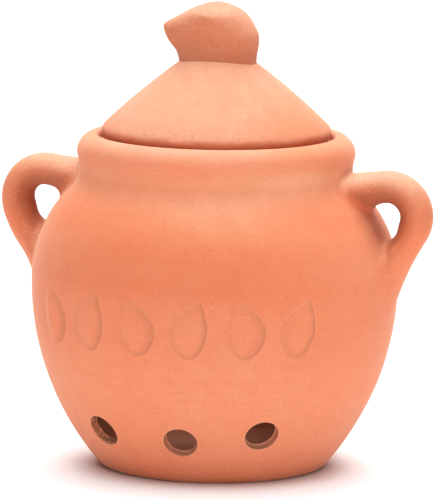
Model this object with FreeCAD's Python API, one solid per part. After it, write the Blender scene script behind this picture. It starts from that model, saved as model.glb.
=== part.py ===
import FreeCAD, Part
import math
import os

# Terracotta garlic keeper: a round-bellied pot with two ear handles, a row of low air vents
# front and back, and a conical lid that drops into a gallery inside the rim. The lid's knob
# is a clove of garlic lying on its side. Millimetres, +Z up, -Y the front, handles along X,
# origin at the centre of the foot on the surface it stands on.

# Pot
FOOT_RADIUS = 36.2          # where the wall would meet the ground with a sharp corner
FOOT_ROUND = 2.2
BELLY_RADIUS = 59.8
BELLY_HEIGHT = 61.3
POT_HEIGHT = 108.5          # foot to the top of the rim
POT_WALL = 2.7
FLOOR_THICKNESS = 4.5
FLOOR_ROUND = 5.0           # inner corner between the floor and the wall
NECK_HEIGHT = 15.4          # rim down to where the shoulder turns up
NECK_WALL = 3.6
SHOULDER_ROUND = 6.0        # hollow between the shoulder and the neck

# Rolled rim, and the gallery and ledge inside it that take the lid
RIM_WALL = 6.8              # gallery to the widest point of the roll
ROLL_HEIGHT = 10.0
ROLL_OVERHANG = 0.8         # the roll stands out this far past the neck
ROLL_SLOPE_HEIGHT = 3.5     # over which the neck widens to the roll
ROLL_CREST = 5.3            # widest point in to the roll's crest
ROLL_DROP = 6.3             # crest down to the widest point
RIM_INNER_BEVEL = 1.1       # leads the lid into the gallery
LID_CLEARANCE = 0.8         # round the lid's edge, in the gallery
GALLERY_DEPTH = 3.0         # rim down to the ledge
LEDGE_WIDTH = 4.9
LEDGE_LIP = 3.2             # height of the ledge's inner edge, above its 45 degree underside

# Vents, punched square to the wall by hand
VENT_DIAMETER = 11.0
VENT_HEIGHT = 16.0
VENTS_PER_SIDE = 3
VENT_PITCH_DEG = 33.3
VENT_TURN_DEG = 2.2         # the rows sit this far round from the middle
VENT_STRAYS = [(0.0, 0.0), (1.6, -1.2), (0.0, 1.3)]     # off the even row: degrees round, height

# Ear handles, pulled straps whose centre line is two straight runs and a bend
HANDLE_STANDOFF = 7.9       # outermost point of the centre line, out from the belly
HANDLE_BEND_RADIUS = 9.4
HANDLE_RISE_DEG = 8.0       # slope of the upper run
HANDLE_FOOT_RISE = 6.7      # the lower run's centre line lands on the wall this far above the belly
HANDLE_SPAN = 26.1          # from there up to the highest point of the centre line
HANDLE_THICKNESS = 10.4
HANDLE_WIDTH = 14.5
HANDLE_ROOT_THICKNESS = 11.0
HANDLE_ROOT_WIDTH = 20.0
HANDLE_FLARE = 9.0          # the strap widens to its root over this distance from the pot
HANDLE_SECTIONS = 17

# Lid
LID_SEAT_RADIUS = 36.2      # outer edge of the flat that sits on the ledge
LID_EDGE_OVERHANG = 1.4     # the cone's lower edge stands out this far past the seat
LID_SEAT_WIDTH = 5.4
LID_SEAT_BEVEL = 0.6
LID_EDGE_HEIGHT = 5.0       # seat up to the corner where the cone starts
LID_EDGE_ROUND = 2.0
LID_HEIGHT = 29.0           # seat up to the flat under the knob
LID_TOP_RADIUS = 9.0
LID_BULGE = 0.45            # the cone's slope swells this far past straight
LID_WALL = 4.2

# Knob, a clove on its side with the tip towards -X and its foot trimmed to the cone. Each
# oval: height above the lid's flat, reach to the tip, reach to the butt, front to back, and
# how much narrower the tip end is
KNOB_OVALS = [
    (-5.0, 12.7, 12.9, 21.8, -0.06),
    (-2.5, 12.8, 13.0, 22.1, -0.04),
    (0.5, 13.9, 13.3, 22.3, 0.08),
    (3.5, 16.6, 13.7, 22.1, 0.25),
    (6.5, 18.2, 13.5, 21.8, 0.38),
    (9.2, 18.2, 12.1, 22.2, 0.40),
    (11.4, 14.8, 10.6, 22.0, 0.32),
    (13.2, 11.6, 8.9, 20.2, 0.24),
    (14.7, 8.8, 6.9, 16.4, 0.16),
    (15.9, 5.8, 4.6, 11.4, 0.08),
    (16.7, 3.1, 2.5, 6.0, 0.0),
]
KNOB_HEIGHT = 17.1          # top of the clove above the lid's flat

SHOULDER_HEIGHT = POT_HEIGHT - NECK_HEIGHT
LEDGE_HEIGHT = POT_HEIGHT - GALLERY_DEPTH
LID_RADIUS = LID_SEAT_RADIUS + LID_EDGE_OVERHANG
GALLERY_RADIUS = LID_RADIUS + LID_CLEARANCE
THROAT_RADIUS = GALLERY_RADIUS - LEDGE_WIDTH
RIM_RADIUS = GALLERY_RADIUS + RIM_WALL
NECK_RADIUS = RIM_RADIUS - ROLL_OVERHANG
LID_TOP = LEDGE_HEIGHT + LID_HEIGHT


class Arc:
    """An arc of the pot's outline that leaves the belly upright and ends at a given point."""

    def __init__(self, end_radius, end_height):
        inset = BELLY_RADIUS - end_radius
        rise = end_height - BELLY_HEIGHT
        self.radius = (inset ** 2 + rise ** 2) / (2 * inset)
        self.centre = BELLY_RADIUS - self.radius
        self.side = math.copysign(1, rise)

    def height_at(self, radius, inward=0.0):
        """Height where the arc, or its copy offset inward, has this radius from the axis."""
        reach = (self.radius - inward) ** 2 - (radius - self.centre) ** 2
        return BELLY_HEIGHT + self.side * math.sqrt(reach)

    def radius_at(self, height, inward=0.0):
        """Radius from the axis of the arc, or of its copy offset inward, at this height."""
        reach = (self.radius - inward) ** 2 - (height - BELLY_HEIGHT) ** 2
        return self.centre + math.sqrt(reach)

    def edge(self, height_from, height_to, inward=0.0):
        middle = (height_from + height_to) / 2
        points = [point(self.radius_at(z, inward), z) for z in (height_from, middle, height_to)]
        return Part.Arc(*points).toShape()


def point(radius, height):
    return FreeCAD.Vector(radius, 0, height)


def line(*corners):
    """Straight edges through (radius, height) corners."""
    return [Part.makeLine(point(*a), point(*b)) for a, b in zip(corners, corners[1:])]


def revolve(edges):
    """A solid of revolution about Z from the edges of a closed half section."""
    face = Part.Face(Part.Wire(Part.sortEdges(edges)[0]))
    solid = face.revolve(FreeCAD.Vector(), FreeCAD.Vector(0, 0, 1), 360)
    return Part.Solid(solid) if solid.ShapeType != "Solid" else solid


def round_ring(solid, radius, height, rounding):
    """Round the circular edge that runs round the axis at this radius and height."""
    def on_ring(edge):
        circle = edge.Curve
        return (isinstance(circle, Part.Circle) and abs(circle.Radius - radius) < 0.01
                and abs(circle.Center.z - height) < 0.01)
    return solid.makeFillet(rounding, [edge for edge in solid.Edges if on_ring(edge)])


LOWER_WALL = Arc(FOOT_RADIUS, 0.0)
SHOULDER = Arc(NECK_RADIUS, SHOULDER_HEIGHT)


def roll_edges():
    """The rim's rolled top: a quarter ellipse up to the crest, then flat to the axis."""
    crest = RIM_RADIUS - ROLL_CREST
    roll = Part.BezierCurve()
    roll.setPoles([point(RIM_RADIUS, POT_HEIGHT - ROLL_DROP), point(RIM_RADIUS, POT_HEIGHT),
                   point(crest, POT_HEIGHT)])
    roll.setWeight(2, math.sqrt(0.5))
    return [roll.toShape()] + line((crest, POT_HEIGHT), (0, POT_HEIGHT))


def make_pot_envelope():
    """The pot's outside, filled: what the handles are trimmed to."""
    roll_foot = POT_HEIGHT - ROLL_HEIGHT
    edges = line((0, POT_HEIGHT), (0, 0), (FOOT_RADIUS, 0))
    edges.append(LOWER_WALL.edge(0, BELLY_HEIGHT))
    edges.append(SHOULDER.edge(BELLY_HEIGHT, SHOULDER_HEIGHT))
    edges += line((NECK_RADIUS, SHOULDER_HEIGHT), (NECK_RADIUS, roll_foot),
                  (RIM_RADIUS, roll_foot + ROLL_SLOPE_HEIGHT), (RIM_RADIUS, POT_HEIGHT - ROLL_DROP))
    edges += roll_edges()
    solid = revolve(edges)
    solid = round_ring(solid, FOOT_RADIUS, 0, FOOT_ROUND)
    return round_ring(solid, NECK_RADIUS, SHOULDER_HEIGHT, SHOULDER_ROUND)


def make_cavity():
    """The space inside: round store, throat under the ledge, and the lid's gallery."""
    floor_radius = LOWER_WALL.radius_at(FLOOR_THICKNESS, POT_WALL)
    neck_inside = NECK_RADIUS - NECK_WALL
    neck_start = SHOULDER.height_at(neck_inside, POT_WALL)
    lip_foot = LEDGE_HEIGHT - LEDGE_LIP
    bevel = min(RIM_INNER_BEVEL, 0.9 * (RIM_WALL - ROLL_CREST))
    above = POT_HEIGHT + 1
    edges = line((0, above), (0, FLOOR_THICKNESS), (floor_radius, FLOOR_THICKNESS))
    edges.append(LOWER_WALL.edge(FLOOR_THICKNESS, BELLY_HEIGHT, POT_WALL))
    edges.append(SHOULDER.edge(BELLY_HEIGHT, neck_start, POT_WALL))
    edges += line((neck_inside, neck_start),
                  (neck_inside, lip_foot - (neck_inside - THROAT_RADIUS)),
                  (THROAT_RADIUS, lip_foot), (THROAT_RADIUS, LEDGE_HEIGHT),
                  (GALLERY_RADIUS, LEDGE_HEIGHT), (GALLERY_RADIUS, POT_HEIGHT - bevel),
                  (GALLERY_RADIUS + bevel + 1, above), (0, above))
    return round_ring(revolve(edges), floor_radius, FLOOR_THICKNESS, FLOOR_ROUND)


def make_vent(turn_deg, height):
    """A punch square to the lower wall, turned this far round from the front."""
    radius = LOWER_WALL.radius_at(height)
    outward = point(radius - LOWER_WALL.centre, height - BELLY_HEIGHT).normalize()
    start = point(radius, height) + outward * VENT_DIAMETER / 2
    length = VENT_DIAMETER + POT_WALL
    punch = Part.makeCylinder(VENT_DIAMETER / 2, length, start, outward * -1)
    punch.rotate(FreeCAD.Vector(), FreeCAD.Vector(0, 0, 1), turn_deg - 90)
    return punch


def make_pot_body(envelope):
    body = envelope.cut(make_cavity())
    for side_deg in (0, 180):
        for index in range(VENTS_PER_SIDE):
            place = index - (VENTS_PER_SIDE - 1) / 2
            stray_deg, stray_height = VENT_STRAYS[index % len(VENT_STRAYS)]
            turn_deg = side_deg + VENT_TURN_DEG + place * VENT_PITCH_DEG + stray_deg
            body = body.cut(make_vent(turn_deg, VENT_HEIGHT + stray_height))
    return body


class HandlePath:
    """The strap's centre line: out of the shoulder, round the bend, down into the belly."""

    def __init__(self):
        self.bend_x = BELLY_RADIUS + HANDLE_STANDOFF - HANDLE_BEND_RADIUS
        landing_height = BELLY_HEIGHT + HANDLE_FOOT_RISE
        self.bend_z = landing_height + HANDLE_SPAN - HANDLE_BEND_RADIUS
        across = SHOULDER.radius_at(landing_height) - self.bend_x
        rise = landing_height - self.bend_z
        run = math.sqrt(across ** 2 + rise ** 2 - HANDLE_BEND_RADIUS ** 2)
        last_heading = math.atan2(rise, across) - math.atan2(HANDLE_BEND_RADIUS, run)
        buried = POT_WALL + HANDLE_ROOT_THICKNESS / 2
        self.first_heading = math.radians(HANDLE_RISE_DEG)
        self.upper_run = self.bend_x - (NECK_RADIUS - buried)
        self.bend_length = (self.first_heading - last_heading) * HANDLE_BEND_RADIUS
        self.length = self.upper_run + self.bend_length + run + buried

    def frame_at(self, distance):
        """Centre, heading and outward direction this far along the strap."""
        past_upper = distance - self.upper_run
        in_bend = min(max(past_upper, 0), self.bend_length)
        straight = past_upper - in_bend
        heading = self.first_heading - in_bend / HANDLE_BEND_RADIUS
        along = point(math.cos(heading), math.sin(heading))
        outward = point(-math.sin(heading), math.cos(heading))
        bend = point(self.bend_x, self.bend_z)
        return bend + outward * HANDLE_BEND_RADIUS + along * straight, along, outward


def handle_section(path, distance):
    """An oval across the strap, larger where it nears the pot."""
    centre, along, outward = path.frame_at(distance)
    standoff = math.hypot(centre.x - SHOULDER.centre, centre.z - BELLY_HEIGHT) - SHOULDER.radius
    clear = min(max(standoff / HANDLE_FLARE, 0), 1)
    flare = (1 + math.cos(math.pi * clear)) / 2
    width = HANDLE_WIDTH + (HANDLE_ROOT_WIDTH - HANDLE_WIDTH) * flare
    thickness = HANDLE_THICKNESS + (HANDLE_ROOT_THICKNESS - HANDLE_THICKNESS) * flare
    oval = Part.Ellipse(FreeCAD.Vector(), width / 2, thickness / 2).toShape()
    turn = FreeCAD.Rotation(FreeCAD.Vector(0, 1, 0), outward, along, "ZXY")
    oval.Placement = FreeCAD.Placement(centre, turn)
    return Part.Wire(oval)


def make_handle(envelope, side):
    path = HandlePath()
    steps = HANDLE_SECTIONS - 1
    sections = [handle_section(path, path.length * step / steps) for step in range(HANDLE_SECTIONS)]
    handle = Part.makeLoft(sections, True)
    if side < 0:
        handle.rotate(FreeCAD.Vector(), FreeCAD.Vector(0, 0, 1), 180)
    return handle.cut(envelope)


def lid_slope(inward=0.0):
    """The cone's gently swelling outline, from the edge up to the flat, or offset inward."""
    foot = point(LID_RADIUS, LEDGE_HEIGHT + LID_EDGE_HEIGHT)
    top = point(LID_TOP_RADIUS, LID_TOP)
    along = (top - foot).normalize()
    outward = point(along.z, -along.x)
    middle = (foot + top) / 2 + outward * LID_BULGE
    return [end - outward * inward for end in (foot, middle, top)]


def make_lid_envelope():
    """The lid's outside, filled: what the knob is trimmed to."""
    foot, middle, top = lid_slope()
    edges = line((0, LID_TOP), (0, LEDGE_HEIGHT), (LID_SEAT_RADIUS - LID_SEAT_BEVEL, LEDGE_HEIGHT),
                 (LID_SEAT_RADIUS, LEDGE_HEIGHT + LID_SEAT_BEVEL), (foot.x, foot.z))
    edges.append(Part.Arc(foot, middle, top).toShape())
    edges += line((top.x, top.z), (0, LID_TOP))
    return round_ring(revolve(edges), LID_RADIUS, foot.z, LID_EDGE_ROUND)


def make_lid(envelope):
    """The cone with a hollow under it, open at the bottom inside the seat."""
    hollow_radius = LID_SEAT_RADIUS - LID_SEAT_WIDTH
    foot, middle, top = lid_slope(LID_WALL)
    swell = Part.Arc(foot, middle, top)
    ceiling = LID_TOP - LID_WALL
    below = LEDGE_HEIGHT - 1
    dome = revolve(line((foot.x, foot.z), (foot.x, below), (0, below), (0, top.z),
                        (top.x, top.z)) + [swell.toShape()])
    bore = Part.makeCylinder(hollow_radius, ceiling - below, FreeCAD.Vector(0, 0, below))
    return envelope.cut(dome.common(bore))


def plan_oval(height, tip_reach, butt_reach, depth, taper):
    """An egg-shaped outline in plan, at a height above the lid's flat."""
    middle = (butt_reach - tip_reach) / 2
    reach = (butt_reach + tip_reach) / 2
    points = []
    for step in range(16):
        angle = step * math.pi / 8
        across = depth / 2 * math.sin(angle) * (1 + taper * math.cos(angle))
        points.append(FreeCAD.Vector(middle + reach * math.cos(angle), across, LID_TOP + height))
    curve = Part.BSplineCurve()
    curve.interpolate(points, PeriodicFlag=True)
    return Part.Wire(curve.toShape())


def make_knob(lid_envelope):
    """The clove, lofted up through its plan ovals and closed at its top."""
    wires = [plan_oval(*oval) for oval in KNOB_OVALS]
    crown = Part.Vertex(0, 0, LID_TOP + KNOB_HEIGHT)
    clove = Part.makeLoft(wires + [crown], True)
    return clove.cut(lid_envelope)


os.makedirs("parts", exist_ok=True)
pot_envelope = make_pot_envelope()
lid_envelope = make_lid_envelope()
pieces = {
    "pot_body": make_pot_body(pot_envelope),
    "handle_left": make_handle(pot_envelope, -1),
    "handle_right": make_handle(pot_envelope, 1),
    "lid": make_lid(lid_envelope),
    "lid_knob": make_knob(lid_envelope),
}
for name, shape in pieces.items():
    shape.exportStep(f"parts/{name}.step")
    box = shape.optimalBoundingBox(False)
    print(f"{name:14s} solids {len(shape.Solids)} valid {shape.isValid()} "
          f"volume {shape.Volume / 1000:.1f} cm3 "
          f"x {box.XMin:.1f} {box.XMax:.1f} y {box.YMin:.1f} {box.YMax:.1f} "
          f"z {box.ZMin:.1f} {box.ZMax:.1f}")
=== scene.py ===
import math
from functools import partial
import bpy
import numpy as np
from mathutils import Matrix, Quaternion, Vector
from mathutils.noise import noise as noise_at


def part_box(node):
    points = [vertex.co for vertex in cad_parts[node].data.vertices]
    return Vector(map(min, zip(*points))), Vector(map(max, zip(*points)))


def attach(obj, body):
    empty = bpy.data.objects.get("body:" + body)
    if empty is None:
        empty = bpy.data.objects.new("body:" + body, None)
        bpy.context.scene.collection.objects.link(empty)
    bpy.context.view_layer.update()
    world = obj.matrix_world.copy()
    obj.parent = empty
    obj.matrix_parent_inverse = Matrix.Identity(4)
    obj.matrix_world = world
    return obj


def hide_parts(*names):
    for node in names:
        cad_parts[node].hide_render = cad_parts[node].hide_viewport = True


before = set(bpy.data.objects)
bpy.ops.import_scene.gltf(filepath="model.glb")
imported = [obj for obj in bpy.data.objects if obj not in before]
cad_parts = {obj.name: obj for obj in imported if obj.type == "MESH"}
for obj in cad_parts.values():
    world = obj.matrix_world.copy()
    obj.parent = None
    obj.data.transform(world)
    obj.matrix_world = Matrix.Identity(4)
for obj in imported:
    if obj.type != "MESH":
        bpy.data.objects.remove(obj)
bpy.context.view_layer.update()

# ---- Camera ----
# A long lens a little above the table, and a little round to the right of the front, so that the
# knob's tip and both handles show.

CAMERA_AZIMUTH = math.radians(16.5)
CAMERA_ELEVATION = math.radians(8.65)
CAMERA_ROLL = 0.013         # in radians
CAMERA_DISTANCE = 2.0
CAMERA_LENS = 443.4
CAMERA_SENSOR = 36
AIM_ASIDE = 0.00062         # the axis stands this far left of the middle of the picture
AIM_HEIGHT = 0.07033

scene = bpy.context.scene


def add_object(name, data):
    """A new object in the scene."""
    added = bpy.data.objects.new(name, data)
    scene.collection.objects.link(added)
    return added


aside = Vector((math.cos(CAMERA_AZIMUTH), math.sin(CAMERA_AZIMUTH), 0))
aim = aside * AIM_ASIDE + Vector((0, 0, AIM_HEIGHT))
back = Vector((math.sin(CAMERA_AZIMUTH) * math.cos(CAMERA_ELEVATION),
               -math.cos(CAMERA_AZIMUTH) * math.cos(CAMERA_ELEVATION),
               math.sin(CAMERA_ELEVATION)))
camera = add_object("camera", bpy.data.cameras.new("camera"))
camera.data.lens = CAMERA_LENS
camera.data.sensor_width = CAMERA_SENSOR
camera.location = aim + back * CAMERA_DISTANCE
camera.rotation_mode = "QUATERNION"
level = back.to_track_quat("Z", "Y")
camera.rotation_quaternion = level @ Quaternion((0, 0, 1), CAMERA_ROLL)
scene.camera = camera

# ---- Floor and light ----
# A white table that glows a little, under four broad soft boxes: the main one overhead, one behind
# the keeper and weak ones in front and beside it. Most of the light on its sides comes off the
# table, and a faint lamp stands inside the pot.

TABLE_GLOW = 0.165
GLOW_SHADED = (0.038, 0.053)    # painted shadow round the foot: the table's glow sets in between these radii
FLOOR_REACH = 12.0
FLOOR_COLOUR = (0.90, 0.92, 0.94, 1)
# Name and strength, then in degrees the spread, the height above the horizon and the turn from
# the camera
SOFTBOXES = [
    ("overhead", 3.35, 75, 90, 0),
    ("behind", 1.6, 50, 45, 180),
    ("in_front", 1.0, 50, 12, 6),
    ("beside", 0.25, 50, 60, 90),
]
FILL = 0.01
GLIMMER = 0.008
GLIMMER_SIZE = 0.02
GLIMMER_PLACE = (-0.012, 0.016, 0.030)

scene.view_settings.view_transform = "Standard"


def node_tree(owner):
    owner.use_nodes = True
    owner.node_tree.nodes.clear()
    return owner.node_tree


def feed(tree, socket, value):
    """Joins another node's output to a socket, or sets the socket to a value."""
    if isinstance(value, bpy.types.NodeSocket):
        tree.links.new(value, socket)
    else:
        socket.default_value = value


def add_node(tree, kind, *inputs, operation=None, **named):
    """A node with its first inputs given in turn, or others by label with _ for spaces."""
    node = tree.nodes.new(kind)
    if operation:
        node.operation = operation
    for socket, value in zip(node.inputs, inputs):
        feed(tree, socket, value)
    for name, value in named.items():
        feed(tree, node.inputs[name.replace("_", " ")], value)
    return node


def arithmetic(tree, operation, first, second=0.0):
    return add_node(tree, "ShaderNodeMath", first, second, operation=operation).outputs[0]


def remap(tree, value, low, high, to_low=0.0, to_high=1.0, soft=False):
    """A value stretched from one range to another and clamped there, or eased in at both ends."""
    node = add_node(tree, "ShaderNodeMapRange", value, low, high, to_low, to_high)
    if soft:
        node.interpolation_type = "SMOOTHSTEP"
    return node.outputs[0]


def plain_for_camera(tree, shader):
    """The shader, with a plain pale tone in its place where the camera or a reflection looks."""
    path = add_node(tree, "ShaderNodeLightPath").outputs
    mirrored = arithmetic(tree, "MAXIMUM", path["Is Glossy Ray"], path["Is Transmission Ray"])
    seen = arithmetic(tree, "MAXIMUM", path["Is Camera Ray"], mirrored)
    pale = add_node(tree, "ShaderNodeBackground", Strength=1.0)
    return add_node(tree, "ShaderNodeMixShader", seen, shader, pale.outputs[0]).outputs[0]


world = bpy.data.worlds.new("studio")
scene.world = world
tree = node_tree(world)
sky = add_node(tree, "ShaderNodeBackground", Color=(1, 1, 1, 1), Strength=FILL)
add_node(tree, "ShaderNodeOutputWorld", Surface=plain_for_camera(tree, sky.outputs[0]))

for name, strength, spread, rise, turn in SOFTBOXES:
    box = add_object(name, bpy.data.lights.new(name, "SUN"))
    box.data.energy = strength
    box.data.angle = math.radians(spread)
    box.rotation_euler = (math.radians(90 - rise), 0, CAMERA_AZIMUTH + math.radians(turn))

# A faint lamp in the pot stands for the daylight that finds its way in and is thrown about there
glimmer = add_object("glimmer", bpy.data.lights.new("glimmer", "POINT"))
glimmer.data.energy = GLIMMER
glimmer.data.shadow_soft_size = GLIMMER_SIZE
glimmer.location = GLIMMER_PLACE
glimmer.visible_camera = False
glimmer.visible_glossy = False

floor_mesh = bpy.data.meshes.new("floor")
corners = [(x * FLOOR_REACH, y * FLOOR_REACH, 0) for x, y in ((-1, -1), (1, -1), (1, 1), (-1, 1))]
floor_mesh.from_pydata(corners, [], [(0, 1, 2, 3)])
floor = add_object("floor", floor_mesh)
paper = bpy.data.materials.new("white table")
tree = node_tree(paper)
surface = add_node(tree, "ShaderNodeBsdfDiffuse", Color=FLOOR_COLOUR)
place = add_node(tree, "ShaderNodeTexCoord").outputs["Object"]
from_foot = add_node(tree, "ShaderNodeVectorMath", place, operation="LENGTH")
# Painted shadow under the pot: the glow fades out near the foot
strength = remap(tree, from_foot.outputs["Value"], *GLOW_SHADED, 0, TABLE_GLOW, soft=True)
glow = add_node(tree, "ShaderNodeEmission", Color=FLOOR_COLOUR, Strength=strength)
lit = add_node(tree, "ShaderNodeAddShader", surface.outputs[0], glow.outputs[0])
add_node(tree, "ShaderNodeOutputMaterial", Surface=lit.outputs[0])
floor_mesh.materials.append(paper)

# ---- Pot body ----
# A round-bellied jar of unglazed red earthenware, thrown or slip-cast in one piece: flat foot,
# short neck, thick rolled rim with a gallery inside it for the lid, and a row of air vents
# punched low in the wall, three at the front and three at the back.

POT_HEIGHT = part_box("pot_body")[1].z
BELLY_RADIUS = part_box("pot_body")[1].y
BELLY_HEIGHT = 0.0613
FOOT_RADIUS = 0.0362
WALL = 0.0027
FLOOR_THICKNESS = 0.0045
NECK_RADIUS = 0.0444
NECK_INSIDE = 0.0408
SHOULDER_HEIGHT = 0.0931
ROLL_RADIUS = 0.0455
ROLL_FOOT = 0.0985          # where the neck starts to widen to the roll
ROLL_WIDEST = 0.1022        # height of the roll's widest point
CREST_RADIUS = 0.0399
GALLERY_RADIUS = 0.0384
LEDGE_HEIGHT = 0.1055
THROAT_RADIUS = 0.0335
LEDGE_LIP = 0.0032
HOLLOW_SETS_IN = (0.006, 0.004)     # between these depths under the shoulder's end
NECK_RUN = 0.003            # the neck stays upright this far below the roll
ROLL_FACE = 0.0004          # and the roll's face this far under its widest point
CREST_EDGE = (0.0008, 0.001)    # the crest's inner edge is worn off this far out and down
# How widely the corners of the pot's and the lid's outline are worn round
CRISP, EASY, LID_SOFT, FOOT_SOFT, ROLL_SOFT, INSIDE_SOFT, HOLLOW = (
    0.0004, 0.0008, 0.0010, 0.0011, 0.0012, 0.0015, 0.0026)
HAND_DEPTH = 0.00008        # of the four waves that by_hand adds up
HAND_IN = 0.00017           # and their middle lies this far inward
HAND_AXIS = 0.02            # nearer the axis than this they fade out
LATHE_SEGMENTS = 256
LATHE_STEP = 0.0017         # longest step and sharpest turn between the outline's corners
LATHE_TURN = math.radians(6)
CORNER_BLUR = 21            # points over which one corner's softness runs into the next one's

VENT_RADIUS = 0.0055
VENT_HEIGHT = 0.0160
VENT_PITCH = math.radians(33.3)
VENT_TURN = math.radians(2.2)
VENT_RING = 88              # corners round each hole
VENT_ROWS = 6               # rings of corners down its tunnel
VENT_LIP = 0.00028          # rounding of the outer edge
VENT_INNER_LIP = 0.0003
VENT_BURR = 0.00042         # clay that the punch pushed up round the inner edge
VENT_COLLARS = (0.0011, 0.0004)     # rings of corners on the wall, this far out from the lip
VENT_CLEARING = 0.0022      # the wall's own corners go away this far past the hole
LIP_BENDS = np.radians([0, 22, 45, 68, 90])
SETTLE_STEPS = 12
SETTLE_SHARE = 0.85
TUNNEL_ENDS = (0.0005, 0.00045)     # its first and last ring, in from the outer and inner face
TUNNEL_REACH = 1.05         # the tunnel's painted shade ends this far out, as a part of the hole's radius
TUNNEL_FADE = 0.0001        # and fades over this distance
CRUMB_SEED = 11
CRUMBLY_SHADE = 1.85       # how much painted shade and coarse grain the crumbly tunnel has; a clean one has 1
# How far each vent of a row was punched out of its place, in degrees round and in height, and how
# rough its edge is
VENT_STRAYS = [(0.0, 0.0, 0.060), (1.6, -0.0012, 0.0), (0.0, 0.0013, 0.0)]


def bulge(end_radius, end_height, inset=0.0):
    """Centre and radius of the wall's arc, which leaves the belly upright and ends at this point."""
    inward = BELLY_RADIUS - end_radius
    rise = end_height - BELLY_HEIGHT
    radius = (inward ** 2 + rise ** 2) / (2 * inward)
    return BELLY_RADIUS - radius, radius - inset


def wall_radius(arc, height):
    centre, radius = arc
    return centre + np.sqrt(radius ** 2 - (np.asarray(height) - BELLY_HEIGHT) ** 2)


def wall_stretch(arc, start, end):
    heights = BELLY_HEIGHT + arc[1] * np.sin(np.linspace(
        math.asin((start - BELLY_HEIGHT) / arc[1]), math.asin((end - BELLY_HEIGHT) / arc[1]), 80))
    return np.stack([wall_radius(arc, heights), heights], 1)


def quarter(centre, across, up, start=0.0, turn=90.0):
    """Points round part of an ellipse, from start degrees above the outward direction."""
    angle = np.radians(np.linspace(start, start + turn, 24))
    return np.stack([centre[0] + across * np.cos(angle), centre[1] + up * np.sin(angle)], 1)


def circle(count):
    """Angles evenly round."""
    return np.arange(count) * 2 * math.pi / count


def unit(rows):
    """Directions of length 1."""
    return rows / np.maximum(np.linalg.norm(rows, axis=-1, keepdims=True), 1e-9)


def resample(line, along, at):
    """Points of a line where a measure along it has these values."""
    return np.stack([np.interp(at, along, line[:, k]) for k in (0, 1)], 1)


def soften(stretches, spacing=0.00015):
    """One even line of points through stretches of (points, softness), its corners worn round."""
    points = np.concatenate([np.asarray(p, float) for p, _ in stretches])
    softness = np.concatenate([np.full(len(p), s) for p, s in stretches])
    step = np.hypot(*np.diff(points, axis=0).T)
    keep = np.concatenate([[True], step > 1e-9])
    points, softness = points[keep], softness[keep]
    along = np.concatenate([[0], np.cumsum(np.hypot(*np.diff(points, axis=0).T))])
    even = np.linspace(0, along[-1], int(along[-1] / spacing))
    line = resample(points, along, even)
    gentle = np.hanning(CORNER_BLUR + 2)[1:-1] / ((CORNER_BLUR + 1) / 2)
    width = np.pad(np.interp(even, along, softness), CORNER_BLUR // 2, "edge")
    width = np.convolve(width, gentle, "valid")[:, None]
    weight = np.exp(-0.5 * ((even[:, None] - even[None, :]) / width) ** 2)
    soft = weight @ line / weight.sum(1, keepdims=True)
    soft[0], soft[-1] = line[0], line[-1]
    return soft


def thin_out(line, longest, sharpest):
    """Fewer points: no step longer than this, and no turn sharper, in radians."""
    step = np.diff(line, axis=0)
    heading = np.unwrap(np.arctan2(step[:, 1], step[:, 0]))
    turning = np.abs(np.gradient(heading))
    cost = np.concatenate([[0], np.cumsum(np.hypot(*step.T) / longest + turning / sharpest)])
    rows = np.linspace(0, cost[-1], int(math.ceil(cost[-1])) + 1)
    return resample(line, cost, rows)


def skin(rings, first, last):
    """Vertices and faces through rings of equally many points, closed to a point at each end."""
    count, around = rings.shape[:2]
    vertices = np.concatenate([rings.reshape(-1, 3), [first], [last]])
    here = np.arange(around)
    following = (here + 1) % around
    rows = np.arange(count - 1)[:, None] * around
    quads = np.stack([rows + here, rows + following, rows + around + following,
                      rows + around + here], 2).reshape(-1, 4).tolist()
    start, end, top = count * around, count * around + 1, (count - 1) * around
    fans = [(start, int(following[k]), k) for k in range(around)]
    fans += [(end, top + k, top + int(following[k])) for k in range(around)]
    return vertices, quads + fans


def lathe(outline, segments):
    """An outline turned about Z, counter-clockwise from the front. Its ends lie on the axis."""
    turn = circle(segments)
    radius, height = outline[1:-1, 0, None], outline[1:-1, 1, None]
    rings = np.stack([radius * np.sin(turn), -radius * np.cos(turn), height + 0 * turn], 2)
    return skin(rings, (0, 0, outline[0, 1]), (0, 0, outline[-1, 1]))


def by_hand(points):
    """Thrown clay is never quite round: moves points in or out by up to a quarter millimetre."""
    x, y, z = points.T
    turn = np.arctan2(y, x)
    radius = np.hypot(x, y)
    lean = np.sin(2 * turn + 0.7 + 38 * z) + 0.7 * np.sin(3 * turn - 1.1 - 61 * z)
    ripple = 0.35 * np.sin(5 * turn + 2.0 + 140 * z) + 0.3 * np.sin(260 * z + turn)
    moved = HAND_DEPTH * (lean + ripple) - HAND_IN
    share = np.minimum(radius / HAND_AXIS, 1) * moved / np.maximum(radius, 1e-9)
    return np.stack([x * (1 + share), y * (1 + share), z], 1)


def zip_loops(outer, outer_angles, inner, inner_angles):
    """Triangles between two closed loops of vertex numbers, both sorted round the same centre."""
    faces = []
    i = j = 0
    while i < len(outer) or j < len(inner):
        next_outer = outer_angles[i + 1] if i < len(outer) else math.inf
        next_inner = inner_angles[j + 1] if j < len(inner) else math.inf
        a, b = outer[i % len(outer)], inner[j % len(inner)]
        if next_outer < next_inner:
            faces.append((a, outer[(i + 1) % len(outer)], b))
            i += 1
        else:
            faces.append((a, inner[(j + 1) % len(inner)], b))
            j += 1
    return faces


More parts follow.
